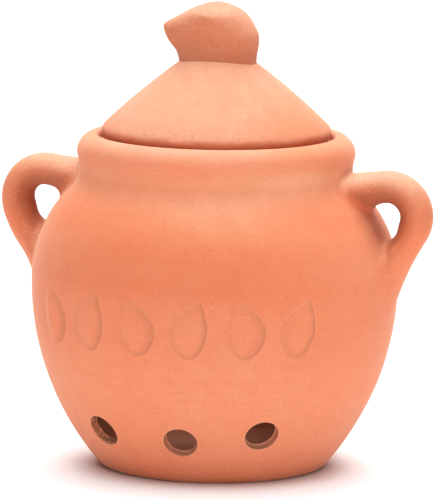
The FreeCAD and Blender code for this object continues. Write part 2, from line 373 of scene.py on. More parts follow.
class Vent:
    """One punched hole: a round tunnel square to the wall, with worn edges."""

    def __init__(self, turn, vent_height, crumble):
        self.plan = Vector((math.sin(turn), -math.cos(turn), 0))
        centre, radius = LOWER_WALL
        height = vent_height - BELLY_HEIGHT
        across = wall_radius(LOWER_WALL, vent_height)
        self.axis = np.array(self.plan * (across - centre) / radius + Vector((0, 0, height / radius)))
        self.centre = np.array(self.plan * across + Vector((0, 0, vent_height)))
        self.side = np.array([math.cos(turn), math.sin(turn), 0])
        self.up = np.cross(self.axis, self.side)
        self.crumble = crumble

    def polar(self, points):
        """Distance and angle of points round the vent's axis."""
        offset = points - self.centre
        aside, above = offset @ self.side, offset @ self.up
        return np.hypot(aside, above), np.arctan2(above, aside)

    def on_wall(self, distance, angle, outline, sunk=0.0):
        """Points round the axis, moved along it on to the wall and then inward by sunk."""
        flat = self.centre + (distance * np.cos(angle))[:, None] * self.side
        flat = flat + (distance * np.sin(angle))[:, None] * self.up
        along = np.zeros(len(angle))
        for _ in range(SETTLE_STEPS):
            points = flat + along[:, None] * self.axis
            past = np.hypot(points[:, 0], points[:, 1]) - np.interp(points[:, 2], *outline)
            along -= past * SETTLE_SHARE
        return flat + (along - sunk)[:, None] * self.axis


def face_block(vertices, rows, vent):
    """First and last row and column of the grid cells that a vent's ring takes away."""
    around = LATHE_SEGMENTS
    grid = vertices[rows[0] * around:rows[1] * around].reshape(-1, around, 3)
    distance, _ = vent.polar(grid.reshape(-1, 3))
    near = (distance < VENT_RADIUS + VENT_CLEARING).reshape(grid.shape[:2])
    near &= (grid @ np.array(vent.plan)) > 0
    row, column = np.nonzero(near)
    middle = int(round(math.atan2(vent.plan.x, -vent.plan.y) / (2 * math.pi) * around))
    offset = (column - middle + around // 2) % around - around // 2
    return (rows[0] + row.min() - 1, rows[0] + row.max() + 1,
            middle + offset.min() - 1, middle + offset.max() + 1)


def block_edge(low, high, left, right):
    """Vertex numbers round the edge of a block of cells, counter-clockwise seen from outside."""
    edge = [(low, k) for k in range(left, right)] + [(k, right) for k in range(low, high)]
    edge += [(high, k) for k in range(right, left, -1)] + [(k, left) for k in range(high, low, -1)]
    return [row * LATHE_SEGMENTS + column % LATHE_SEGMENTS for row, column in edge]


def from_lowest(numbers, angles):
    """A closed loop's vertex numbers and angles from the lowest angle on, and once round."""
    start = int(np.argmin(angles))
    angles = np.roll(angles, -start)
    return list(np.roll(numbers, -start)), list(angles) + [angles[0] + 2 * math.pi]


def vent_rings(vent, sides):
    """Rings of points from the outer wall through the tunnel to the inner wall."""
    angle = circle(VENT_RING) - math.pi
    crumbs = np.random.default_rng(CRUMB_SEED).normal(size=(VENT_ROWS + 1, VENT_RING))
    crumbs = 0.5 * crumbs + 0.25 * (np.roll(crumbs, 1, 1) + np.roll(crumbs, -1, 1))
    wave = 0.4 * np.sin(3 * angle + 900 * vent.centre[0])
    lower = np.clip(0.3 - np.sin(angle), 0, 1)
    walls = []
    for side, edge in enumerate((0.5 * lower * crumbs[0], crumbs[-1])):
        _, outline, lip = sides[side]
        rough = 1 + vent.crumble * (wave + edge)
        opening = VENT_RADIUS - side * VENT_BURR
        lips = [(VENT_RADIUS + lip + out, 0.0) for out in VENT_COLLARS]
        for bend in LIP_BENDS:
            lips.append((opening + lip * (1 - math.sin(bend)), lip * (1 - math.cos(bend))))
        inward = 1 if side == 0 else -1
        walls.append([vent.on_wall(reach * rough, angle, outline, sunk * inward)
                      for reach, sunk in lips])
    depths = np.linspace(TUNNEL_ENDS[0], WALL - TUNNEL_ENDS[1], VENT_ROWS)
    tunnel = []
    for row, depth in zip(crumbs[1:], depths):
        rough = VENT_RADIUS * (1 + vent.crumble * (wave + row))
        tunnel.append(vent.on_wall(rough, angle, sides[0][1], depth))
    return walls[0] + tunnel + walls[1][::-1]


def punch(vertices, vent, sides):
    """Cuts one vent through the wall. sides gives rows, outline and lip, outer wall then inner."""
    rings = vent_rings(vent, sides)
    numbers = len(vertices) + np.arange(len(rings) * VENT_RING).reshape(-1, VENT_RING)
    removed, added = set(), []
    for side, (rows, _, _) in enumerate(sides):
        low, high, left, right = face_block(vertices, rows, vent)
        removed |= {(row, k % LATHE_SEGMENTS) for row in range(low, high) for k in range(left, right)}
        edge = block_edge(low, high, left, right)
        if side == 1:
            edge = edge[::-1]
        _, edge_angle = vent.polar(vertices[edge])
        _, ring_angle = vent.polar(rings[-side])
        zipped = zip_loops(*from_lowest(edge, edge_angle), *from_lowest(numbers[-side], ring_angle))
        added += zipped if side == 0 else [corners[::-1] for corners in zipped]
    for ring, deeper in zip(numbers, numbers[1:]):
        added += np.stack([ring, np.roll(ring, -1), np.roll(deeper, -1), deeper], 1).tolist()
    return np.concatenate([vertices] + rings), removed, added


LOWER_WALL = bulge(FOOT_RADIUS, 0.0)
SHOULDER = bulge(NECK_RADIUS, SHOULDER_HEIGHT)
LOWER_INSIDE = bulge(FOOT_RADIUS, 0.0, WALL)
SHOULDER_INSIDE = bulge(NECK_RADIUS, SHOULDER_HEIGHT, WALL)
LOOP_HEIGHT = 0.0815        # the middle of the handles' loops, where shade is painted on the clay
LOOP_REACH = 0.021
LOOP_FADE = 0.010
LOOP_ASIDE = 0.03
# painted shade in and beside the handles' loops
LOOP_SHADE = 0.90
LOOP_BACK = 0.006           # the painted shade lies this far behind the middle of each handle
INSIDE_DEPTH = 0.6          # where the inside's painted light and shade set in, as a part of the wall
# painted light on the inner half of each clean tunnel
TUNNEL_LIGHT = 0.8
TUNNEL_LIT_BELOW = 1.2          # a tunnel with more painted shade than this takes none of the inside's painted light
FLOOR_FADE = 0.0006
# Painted shade on the pot's inner wall and floor
INNER_WALL_SHADE = 1.8
INNER_FLOOR_SHADE = 1.1
LIT_SIDE = 123            # in degrees round, the strip of the inner wall with least painted shade and some painted light
LIT_REACH = 20
STRIP_LIGHT = 0.3

neck_start = BELLY_HEIGHT + math.sqrt(SHOULDER_INSIDE[1] ** 2 - (NECK_INSIDE - SHOULDER_INSIDE[0]) ** 2)
lip_foot = LEDGE_HEIGHT - LEDGE_LIP
outside = soften([
    ([(0, 0), (FOOT_RADIUS, 0)], FOOT_SOFT),
    (wall_stretch(LOWER_WALL, 0, BELLY_HEIGHT), FOOT_SOFT),
    (wall_stretch(SHOULDER, BELLY_HEIGHT, SHOULDER_HEIGHT - HOLLOW_SETS_IN[0]), EASY),
    (wall_stretch(SHOULDER, SHOULDER_HEIGHT - HOLLOW_SETS_IN[1], SHOULDER_HEIGHT), HOLLOW),
    ([(NECK_RADIUS, ROLL_FOOT - NECK_RUN)], HOLLOW),
    ([(NECK_RADIUS, ROLL_FOOT)], HOLLOW),
    ([(ROLL_RADIUS, ROLL_WIDEST - ROLL_FACE)], ROLL_SOFT),
    (quarter((CREST_RADIUS, ROLL_WIDEST), ROLL_RADIUS - CREST_RADIUS, POT_HEIGHT - ROLL_WIDEST), EASY),
    ([(GALLERY_RADIUS + CREST_EDGE[0], POT_HEIGHT)], CRISP),
    ([(GALLERY_RADIUS, POT_HEIGHT - CREST_EDGE[1]), (GALLERY_RADIUS, LEDGE_HEIGHT)], CRISP),
    ([(THROAT_RADIUS, LEDGE_HEIGHT), (THROAT_RADIUS, lip_foot)], CRISP),
    ([(NECK_INSIDE, lip_foot - (NECK_INSIDE - THROAT_RADIUS)), (NECK_INSIDE, neck_start)], EASY),
    (wall_stretch(SHOULDER_INSIDE, neck_start, BELLY_HEIGHT), EASY),
    (wall_stretch(LOWER_INSIDE, BELLY_HEIGHT, FLOOR_THICKNESS), INSIDE_SOFT),
    ([(0, FLOOR_THICKNESS)], INSIDE_SOFT),
])
outline = thin_out(outside, LATHE_STEP, LATHE_TURN)
pot_points, pot_faces = lathe(outline, LATHE_SEGMENTS)

rings = outline[1:-1]
widest = int(np.argmax(rings[:, 0]))
inner_start = int(np.nonzero((rings[:, 1] < BELLY_HEIGHT) & (np.arange(len(rings)) > widest + 5))[0][0])
outer_rows = (2, widest)
inner_rows = (inner_start, len(rings) - 2)
outer_line = (rings[:widest, 1], rings[:widest, 0])
inner_line = (rings[inner_start:, 1][::-1], rings[inner_start:, 0][::-1])

gone, patches = set(), []
tunnel_and_loop_shade = np.zeros(len(pot_points))
for facing in (0, math.pi):
    for place, (aside, above, crumble) in enumerate(VENT_STRAYS):
        turn = VENT_TURN + math.radians(aside) + (place - (len(VENT_STRAYS) - 1) / 2) * VENT_PITCH
        vent = Vent(facing + turn, VENT_HEIGHT + above, crumble)
        sides = [(outer_rows, outer_line, VENT_LIP), (inner_rows, inner_line, VENT_INNER_LIP)]
        before = len(pot_points)
        pot_points, removed, added = punch(pot_points, vent, sides)
        distance, _ = vent.polar(pot_points[before:])
        # Painted shade in each tunnel, deeper in the crumbly one
        tunnel = np.minimum(VENT_RADIUS * TUNNEL_REACH - distance,
                            distance - VENT_RADIUS + VENT_BURR / 2)
        rough = CRUMBLY_SHADE if crumble else 1
        tunnel_and_loop_shade = np.append(tunnel_and_loop_shade, np.clip(tunnel / TUNNEL_FADE, 0, 1) * rough)
        gone |= removed
        patches += added
kept = [face for k, face in enumerate(pot_faces)
        if k >= (len(rings) - 1) * LATHE_SEGMENTS or divmod(k, LATHE_SEGMENTS) not in gone]


def per_vertex(mesh, name):
    """A row of three numbers for each vertex: its place, co, or its normal."""
    values = np.zeros(len(mesh.vertices) * 3)
    mesh.vertices.foreach_get(name, values)
    return values.reshape(-1, 3)


def store(mesh, name, values):
    """Keeps a number for each vertex under a name that the clay's finish reads."""
    mesh.attributes.new(name, "FLOAT", "POINT").data.foreach_set("value", values)


# The curvature darkens hollows with painted shade and pales sharp edges, partly as dust and partly as a
# painted highlight
def mark_curvature(mesh):
    """Stores how sharply each vertex stands out, or with a minus sign lies in a hollow."""
    count = len(mesh.vertices)
    place, normal = per_vertex(mesh, "co"), per_vertex(mesh, "normal")
    ends = np.zeros(len(mesh.edges) * 2, int)
    mesh.edges.foreach_get("vertices", ends)
    one, other = ends.reshape(-1, 2).T
    across = place[other] - place[one]
    square = np.maximum((across ** 2).sum(1), 1e-10)
    total, edges = np.zeros(count), np.zeros(count)
    for start, direction in ((one, across), (other, -across)):
        bend = -2 * (normal[start] * direction).sum(1) / square
        total += np.bincount(start, bend, count)
        edges += np.bincount(start, minlength=count)
    curvature = np.clip(total / np.maximum(edges, 1) * CURVATURE_LENGTH, -1, 1)
    for _ in range(CURVATURE_BLUR):
        near = np.bincount(one, curvature[other], count) + np.bincount(other, curvature[one], count)
        curvature = 0.5 * curvature + 0.5 * near / np.maximum(edges, 1)
    store(mesh, "curvature", curvature)


def mesh_piece(name, points, faces, coarse_and_shade=0.0):
    """A piece of fired clay from vertices and faces."""
    mesh = bpy.data.meshes.new(name)
    mesh.from_pydata(points.tolist(), [], faces)
    return clay_piece(name, mesh, coarse_and_shade)


def clay_piece(name, mesh, coarse_and_shade=0.0):
    """A smooth-shaded piece of fired clay, with painted shade and a coarser grain given per vertex."""
    mesh.polygons.foreach_set("use_smooth", [True] * len(mesh.polygons))
    mesh.update()
    mark_curvature(mesh)
    store(mesh, "coarse_and_shade", np.broadcast_to(coarse_and_shade, len(mesh.vertices)).astype(float))
    mesh.materials.append(clay)
    return add_object(name, mesh)


def blend(tree, share, under, over, mode="MIX"):
    """Colour over laid on colour under, by a share that is a socket or a number.

    The mixer's socket 0 takes the share, 6 and 7 the colours, and 2 gives the result.
    """
    mix = tree.nodes.new("ShaderNodeMix")
    mix.data_type = "RGBA"
    mix.blend_type = mode
    for number, value in ((0, share), (6, under), (7, over)):
        feed(tree, mix.inputs[number], value)
    return mix.outputs[2]


def stored(tree, name):
    """A value stored on the mesh's vertices."""
    node = tree.nodes.new("ShaderNodeAttribute")
    node.attribute_name = name
    return node.outputs["Fac"]


def noise(tree, place, per_metre, detail=2.0, roughness=0.5):
    return add_node(tree, "ShaderNodeTexNoise", Vector=place, Scale=per_metre, Detail=detail,
                    Roughness=roughness).outputs[0]


def spots(tree, place, per_metre, size, share):
    """Round spots: in this share of the cells, out to this part of a cell's width."""
    cells = add_node(tree, "ShaderNodeTexVoronoi", Vector=place, Scale=per_metre).outputs
    inside = remap(tree, cells["Distance"], size, size * 0.55)
    pick = add_node(tree, "ShaderNodeSeparateColor", cells["Color"])
    return arithmetic(tree, "MULTIPLY", inside,
                      arithmetic(tree, "GREATER_THAN", pick.outputs[0], 1 - share))


def painted_light_patch(tree, place, colour, centre, reach, tone):
    """The colour with a soft patch of painted light and shade in it, which multiplies its tone."""
    offset = add_node(tree, "ShaderNodeVectorMath", place, centre, operation="SUBTRACT")
    scaled = add_node(tree, "ShaderNodeVectorMath", offset.outputs[0], reach, operation="DIVIDE")
    away = add_node(tree, "ShaderNodeVectorMath", scaled.outputs[0], operation="LENGTH")
    share = remap(tree, away.outputs["Value"], 1.0, PATCH_HEART, soft=True)
    return blend(tree, share, colour, tone, "MULTIPLY")


def clay_patterns(tree, place):
    """What the clay's tones and its bumps follow: mottle, grain, the wheel's lines and pits."""
    turning = add_node(tree, "ShaderNodeMapping", Vector=place, Scale=TURNING_LINES).outputs[0]
    return (noise(tree, place, 160, 4, 0.6), noise(tree, place, 2100, 3, 0.65),
            noise(tree, turning, 1, 2, 0.6), spots(tree, place, 560, 0.20, 0.07))


def clay_colour(tree, place, upward, patterns):
    """Tones laid one over the other: the fire's own with painted light and shade, then patches of
    painted light and shade, then the fine ones with painted highlights and shade.
    """
    times = partial(arithmetic, tree, "MULTIPLY")
    fade = partial(remap, tree)
    mottle, grain, lines, pits = patterns
    broad = noise(tree, place, 24, 2)
    grit = spots(tree, place, 800, 0.20, 0.022)
    curvature, coarse_and_shade = stored(tree, "curvature"), stored(tree, "coarse_and_shade")
    # Painted light on what faces up, less where the clay carries painted shade
    painted_top_light = times(fade(upward, 0.12, 0.85), fade(mottle, 0.3, 0.7, 1.1, 0.9))
    painted_top_light = times(painted_top_light, fade(coarse_and_shade, 0.7, 1.2, 1, 0.3))
    # Deep painted shade where the painted shade runs past 1
    painted_deep_shade = times(fade(coarse_and_shade, 1.0, 1.8), fade(grain, 0.35, 0.6, 0.55, 1))
    painted_deep_shade = times(painted_deep_shade, fade(mottle, 0.3, 0.6, 0.8, 1))
    speckle = fade(coarse_and_shade, 0, 1, 0.35, 0.85)
    # Sharp edges paler: partly dust, partly a painted highlight
    edge_dust_and_highlight = times(fade(curvature, 0.22, 0.9), fade(mottle, 0.35, 0.65, 0.1, 0.6))
    edge_dust_and_highlight = times(edge_dust_and_highlight, fade(coarse_and_shade, 1.05, 1.4, 1, 0.15))
    tones_light_and_shade = [
        (fade(mottle, 0.35, 0.68, 0, 0.4), CLAY_DEEP),
        # painted shade, deep painted shade, the inside's painted light and painted light on what faces
        # up
        (times(coarse_and_shade, SHADE_DARKENING), CLAY_SHADED),
        (times(painted_deep_shade, DEEP_SHADE), CLAY_DEEP_SHADE),
        (stored(tree, "inside_light"), CLAY_INSIDE_LIT),
        (times(painted_top_light, PAINTED_TOP_LIGHT), CLAY_PAINTED_TOP_LIGHT),
    ]
    fine = [
        (times(fade(grain, 0.42, 0.75), speckle), CLAY_DARK_AND_SHADE),
        (times(fade(grain, 0.40, 0.22), speckle), CLAY_DUST_AND_HIGHLIGHT),
        (fade(lines, 0.45, 0.72, 0, 0.06), CLAY_DARK_AND_SHADE),
        (edge_dust_and_highlight, CLAY_DUST_AND_HIGHLIGHT),
        # painted shade in hollows
        (fade(curvature, -0.25, -0.9, 0, 0.6), CLAY_DARK_AND_SHADE),
        (times(grit, 0.5), CLAY_GRIT),
        (times(pits, 0.35), CLAY_DARK_AND_SHADE),
    ]
    colour = blend(tree, fade(broad, 0.38, 0.64), CLAY_RED, CLAY_PALE)
    for share, over in tones_light_and_shade:
        colour = blend(tree, share, colour, over)
    # Patches of painted light and painted shade
    for centre, reach, tone in PAINTED_LIGHT_PATCHES:
        colour = painted_light_patch(tree, place, colour, centre, reach, tone)
    for share, over in fine:
        colour = blend(tree, share, colour, over)
    return colour


def fired_clay():
    """Unglazed terracotta: mottled by the fire, fine grained, with pale grit and open pits, and with
    light and shade painted into its colour.
    """
    material = bpy.data.materials.new("terracotta")
    tree = node_tree(material)
    times = partial(arithmetic, tree, "MULTIPLY")
    fade = partial(remap, tree)
    coordinates = add_node(tree, "ShaderNodeTexCoord").outputs
    place = coordinates["Object"]
    upward = add_node(tree, "ShaderNodeSeparateXYZ", coordinates["Normal"]).outputs[2]
    patterns = clay_patterns(tree, place)
    colour = clay_colour(tree, place, upward, patterns)
    mottle, grain, lines, pits = patterns
    coarse_and_shade = stored(tree, "coarse_and_shade")
    grained = times(grain, fade(coarse_and_shade, 0, 1, 0.25, 0.5))
    height = arithmetic(tree, "ADD", times(mottle, 0.9), grained)
    height = arithmetic(tree, "ADD", height, times(lines, 0.12))
    height = arithmetic(tree, "SUBTRACT", height, times(pits, 0.5))
    bump = add_node(tree, "ShaderNodeBump", Strength=0.55, Distance=0.0002, Height=height)
    shader = add_node(tree, "ShaderNodeBsdfPrincipled", Base_Color=colour, Sheen_Roughness=0.35,
                      Sheen_Weight=fade(coarse_and_shade, 0.5, 1.1, 0.30, 0.08), Sheen_Tint=CLAY_SHEEN,
                      Specular_IOR_Level=0.5, Roughness=fade(mottle, 0.3, 0.7, 0.78, 0.90),
                      Normal=bump.outputs[0])
    add_node(tree, "ShaderNodeOutputMaterial", Surface=shader.outputs[0])
    return material


CURVATURE_LENGTH = 0.003         # a convex edge of this radius counts in full
CURVATURE_BLUR = 3
PAINTED_TOP_LIGHT = 0.70                # how much painted light lies on what faces up
DEEP_SHADE = 0.85                # how much deep painted shade lies where the painted shade is strongest, as in the loops and inside the pot
SHADE_DARKENING = 0.75               # how much darker the painted shade makes the clay
CLAY_RED = (0.800, 0.232, 0.106, 1)
CLAY_PALE = (0.790, 0.252, 0.124, 1)
CLAY_DEEP = (0.740, 0.205, 0.090, 1)
# dark grain, turning lines and pits, and painted shade in hollows
CLAY_DARK_AND_SHADE = (0.500, 0.120, 0.050, 1)
# pale grain and dust, and painted highlights on sharp edges
CLAY_DUST_AND_HIGHLIGHT = (0.880, 0.390, 0.235, 1)
CLAY_PAINTED_TOP_LIGHT = (0.920, 0.475, 0.300, 1)
CLAY_SHADED = (0.515, 0.157, 0.073, 1)
# the inside's painted light
CLAY_INSIDE_LIT = (0.720, 0.300, 0.175, 1)
CLAY_DEEP_SHADE = (0.290, 0.115, 0.052, 1)
CLAY_GRIT = (0.920, 0.560, 0.390, 1)
CLAY_SHEEN = (1.0, 0.76, 0.58, 1)
TURNING_LINES = (10, 10, 1100)      # faint rings from the wheel: fine in height, long round the pot
PATCH_HEART = 0.15          # a patch has its full tone out to this part of its reach
# Centre and reach of each patch of painted light and shade, and the tone by which it multiplies the
# clay
PAINTED_LIGHT_PATCHES = [
    ((0.002, -0.058, 0.0715), (0.086, 0.060, 0.017), (0.93, 0.78, 0.67, 1)),
    ((0.000, 0.000, 0.0825), (0.200, 0.200, 0.0165), (0.99, 0.80, 0.66, 1)),
    ((0.015, -0.048, 0.0880), (0.022, 0.030, 0.0110), (1.00, 1.08, 1.12, 1)),
    ((0.000, 0.000, 0.026), (0.200, 0.200, 0.030), (1.09, 1.16, 1.18, 1)),
    ((0.010, 0.000, 0.0975), (0.200, 0.200, 0.0068), (1.01, 1.17, 1.24, 1)),
    ((0.046, -0.020, 0.0885), (0.030, 0.040, 0.0100), (1.00, 0.84, 0.75, 1)),
    ((-0.036, -0.036, 0.0880), (0.030, 0.030, 0.0110), (1.00, 0.82, 0.72, 1)),
    ((0.028, -0.034, 0.0985), (0.040, 0.050, 0.0080), (1.01, 1.14, 1.18, 1)),
    ((0.035, -0.027, 0.0985), (0.014, 0.018, 0.0065), (1.04, 1.14, 1.19, 1)),
    ((-0.012, -0.048, 0.0860), (0.016, 0.020, 0.0150), (1.01, 0.92, 0.85, 1)),
    ((-0.071, 0.000, 0.0930), (0.014, 0.030, 0.0100), (0.99, 0.86, 0.76, 1)),
    ((0.000, 0.000, 0.1530), (0.030, 0.030, 0.0070), (1.00, 1.06, 1.10, 1)),
    ((-0.008, -0.015, 0.124), (0.036, 0.040, 0.022), (1.00, 1.07, 1.06, 1)),
    ((0.036, -0.012, 0.112), (0.026, 0.050, 0.020), (0.97, 0.78, 0.62, 1)),
    ((-0.036, -0.012, 0.112), (0.016, 0.050, 0.018), (0.98, 0.86, 0.74, 1)),
    ((-0.066, 0.000, 0.0960), (0.016, 0.030, 0.0060), (1.00, 0.90, 0.82, 1)),
]

clay = fired_clay()


def loop_shade_share(points):
    """How much of the painted shade in the handles' loops a point at either side takes, from 0 to 1."""
    away = np.hypot(points[:, 1] - LOOP_BACK, (points[:, 2] - LOOP_HEIGHT) * 1.2)
    return np.clip((LOOP_REACH - away) / LOOP_FADE, 0, 1) * (np.abs(points[:, 0]) > LOOP_ASIDE)


# The lathe's own corners come first, then its two ends, then those round the vents
throat = int(np.argmin(np.abs(rings[:, 0] - THROAT_RADIUS) + (rings[:, 1] < LEDGE_HEIGHT - 0.001)))
turned = len(rings) * LATHE_SEGMENTS
punched = slice(turned + 2, None)
depth = np.interp(pot_points[:, 2], *outer_line) - np.hypot(*pot_points[:, :2].T)
inner = np.clip(2 * (depth / WALL - INSIDE_DEPTH), 0, 1)
in_tunnels = TUNNEL_LIGHT * (tunnel_and_loop_shade[punched] < TUNNEL_LIT_BELOW) * inner[punched]
inner[:turned] = np.repeat(np.arange(len(rings)) > throat, LATHE_SEGMENTS)
inner[turned:turned + 2] = 0, 1
on_floor = np.clip((FLOOR_THICKNESS + 2 * FLOOR_FADE - pot_points[:, 2]) / FLOOR_FADE, 0, 1)
# One strip of the inner wall keeps painted light, as if from the vent opposite; so does the floor
from_lit_side = np.degrees(np.arctan2(pot_points[:, 1], pot_points[:, 0])) - LIT_SIDE
lit_strip = np.exp(-(from_lit_side / LIT_REACH) ** 2)
# painted shade inside the pot
inside_shade = (INNER_WALL_SHADE * (1 - lit_strip) * (1 - on_floor) + INNER_FLOOR_SHADE * on_floor) * (inner > 0.9)
inside_light = inner * np.maximum(on_floor, STRIP_LIGHT * lit_strip)
inside_light[punched] = np.where(tunnel_and_loop_shade[punched] > 0.5, in_tunnels, inside_light[punched])
# Painted shade on the wall beside the handles' loops
tunnel_and_loop_shade = np.maximum(tunnel_and_loop_shade, LOOP_SHADE * loop_shade_share(pot_points))
pot = mesh_piece("pot", by_hand(pot_points), kept + patches, np.maximum(tunnel_and_loop_shade, inside_shade))
store(pot.data, "inside_light", inside_light)
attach(pot, "pot")
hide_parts("pot_body")

# ---- Handles ----
# Two straps of clay, oval across and bent like ears. Each is stuck to the neck just under the
# roll and to the shoulder above the belly, and its roots are smoothed into the wall with slip.

HANDLE_TOP = 0.0941         # highest point of the strap's centre line
HANDLE_STANDOFF = 0.0079    # its outermost point, out from the belly
HANDLE_BEND = 0.0094
HANDLE_RISE = math.radians(8)
HANDLE_LANDING = BELLY_HEIGHT + 0.0067
HANDLE_THICKNESS = 0.0104
HANDLE_WIDTH = 0.0145
HANDLE_ROOT_THICKNESS = 0.0108
HANDLE_ROOT_WIDTH = 0.0175
HANDLE_FLARE = 0.009
HANDLE_WAIST = 0.0011       # swollen on the inside just past the bend
WAIST_PLACE = 0.0036
WAIST_REACH = 0.0050
BOW_PLACE = 0.0045          # the left one also bows outward there
BOW_REACH = 0.0095
HANDLE_AROUND = 96
HANDLE_ALONG = 90
ROOT_SAMPLES = 160
ROOT_SPARE = 0.004          # the strap's line runs on this far past the wall's inside
ROOT_SUNK = 0.0014          # the strap itself ends this far under the wall's face
FILLET_STEPS = np.radians([0, 12, 25, 38, 51, 64, 77, 90])
# Radius of the fillets of slip at the strap's sides, and what is added outside and inside. The
# outside of the lower one is each handle's own swell.
TOP_FILLET, TOP_OUTSIDE, TOP_INSIDE = 0.0030, -0.0014, 0.0030
LOW_FILLET, LOW_INSIDE = 0.0034, -0.0003
# The slip's thin skirt past each fillet: how much further out each ring lies, and how high
SKIRT_LIFT = 0.00003
SKIRT = [(0.0015, -0.00002), (0.001, -0.00006), (0.001, -0.00012), (0.0005, -0.0004)]
# Painted shade on the strap, with a coarser grain: all over, what its upper part adds, and what the
# loop's inside adds
STRAP_SHADE, STRAP_TOP_SHADE, STRAP_LOOP_SHADE = 0.04, 0.48, 1.1
STRAP_TOP, STRAP_TOP_FADE = 0.075, 0.016
STRAP_CLEAR = 0.003         # painted shade in full this far out from the wall
NEAREST_CHUNK = 2000        # points for which the nearest wall is sought at a time
WALL_LINE_START = 40        # the wall's line leaves out the flat of the foot


def nearest_wall(points):
    """Distance out from the pot's wall, and the wall's outward direction there."""
    radius = np.hypot(points[:, 0], points[:, 1])
    near = np.empty(len(points), int)
    for start in range(0, len(points), NEAREST_CHUNK):
        chunk = slice(start, start + NEAREST_CHUNK)
        reach = (radius[chunk, None] - WALL_LINE[:, 0]) ** 2
        reach += (points[chunk, 2, None] - WALL_LINE[:, 1]) ** 2
        near[chunk] = reach.argmin(1)
    facing = WALL_FACING[near]
    past = np.stack([radius, points[:, 2]], 1) - WALL_LINE[near]
    outward = np.stack([facing[:, 0] * points[:, 0] / radius, facing[:, 0] * points[:, 1] / radius,
                        facing[:, 1]], 1)
    return (past * facing).sum(1), outward


class Strap:
    """The right handle's line and section, not yet smoothed into the pot. bow swells its outside."""

    def __init__(self, bow):
        self.bow = bow
        self.bend_x = BELLY_RADIUS + HANDLE_STANDOFF - HANDLE_BEND
        self.bend_z = HANDLE_TOP - HANDLE_BEND
        across = float(wall_radius(SHOULDER, HANDLE_LANDING)) - self.bend_x
        rise = HANDLE_LANDING - self.bend_z
        run = math.sqrt(across ** 2 + rise ** 2 - HANDLE_BEND ** 2)
        last = math.atan2(rise, across) - math.atan2(HANDLE_BEND, run)
        buried = WALL + HANDLE_ROOT_THICKNESS / 2 + ROOT_SPARE
        self.upper = self.bend_x - NECK_RADIUS + buried
        self.bend_length = (HANDLE_RISE - last) * HANDLE_BEND
        self.length = self.upper + self.bend_length + run + buried

    def surface(self, along, angle):
        """Points on the strap and its outward direction, at distances along and angles round."""
        past = along - self.upper
        bent = np.clip(past, 0, self.bend_length)
        heading = HANDLE_RISE - bent / HANDLE_BEND
        outward = np.stack([-np.sin(heading), np.zeros_like(heading), np.cos(heading)], -1)
        forward = np.stack([np.cos(heading), np.zeros_like(heading), np.sin(heading)], -1)
        centre = np.array([self.bend_x, 0, self.bend_z]) + outward * HANDLE_BEND
        centre = centre + forward * (past - bent)[..., None]
        standoff = np.hypot(centre[..., 0] - SHOULDER[0], centre[..., 2] - BELLY_HEIGHT) - SHOULDER[1]
        flare = (1 + np.cos(math.pi * np.clip(standoff / HANDLE_FLARE, 0, 1))) / 2
        wide = (HANDLE_WIDTH + (HANDLE_ROOT_WIDTH - HANDLE_WIDTH) * flare) / 2
        thick = (HANDLE_THICKNESS + (HANDLE_ROOT_THICKNESS - HANDLE_THICKNESS) * flare) / 2
        side = np.array([0, 1, 0])
        level, over = np.cos(angle), np.sin(angle)
        waist = 0
        for swell, middle, reach, side_on in ((HANDLE_WAIST, WAIST_PLACE, WAIST_REACH, -over),
                                              (self.bow, BOW_PLACE, BOW_REACH, over)):
            beyond = np.clip((past - self.bend_length - middle) / reach, -1, 1)
            waist = waist + swell * (1 + np.cos(math.pi * beyond)) / 2 * np.clip(side_on, 0, 1)
        points = centre + (wide * level)[..., None] * side + (thick * over + waist)[..., None] * outward
        facing = (thick * level)[..., None] * side + (wide * over)[..., None] * outward
        return points, unit(facing)

    def root(self, samples, angle, fillet):
        """Rings from the strap out on to the wall: distances along, then points, per ring."""
        grid = np.repeat(samples[:, None], len(angle), 1)
        points, _ = self.surface(grid, np.broadcast_to(angle, grid.shape))
        clear = nearest_wall(points.reshape(-1, 3))[0].reshape(grid.shape)
        clear = np.maximum.accumulate(clear, 0)
        rings = []
        for bend in FILLET_STEPS:
            lift, spread = fillet * (1 - math.sin(bend)), fillet * (1 - math.cos(bend))
            along = np.array([np.interp(d, clear[:, k], samples) for k, d in enumerate(lift)])
            ring, facing = self.surface(along, angle)
            if bend == 0:
                leaves = along
            outward = nearest_wall(ring)[1]
            slide = unit(facing - (facing * outward).sum(1, keepdims=True) * outward)
            ring = ring + spread[:, None] * slide
            rings.append(self.settle(ring, lift + SKIRT_LIFT))
        for further, height in SKIRT:
            ring = rings[-1] + further * slide
            rings.append(self.settle(ring, np.full(len(angle), height)))
        buried, _ = self.surface(along, angle)
        rings.append(self.settle(buried, np.full(len(angle), -ROOT_SUNK)))
        return leaves, rings

    def settle(self, ring, height):
        """Moves points square to the wall until they stand this high on it."""
        for _ in range(3):
            clear, outward = nearest_wall(ring)
            ring = ring + (height - clear)[:, None] * outward
        return ring


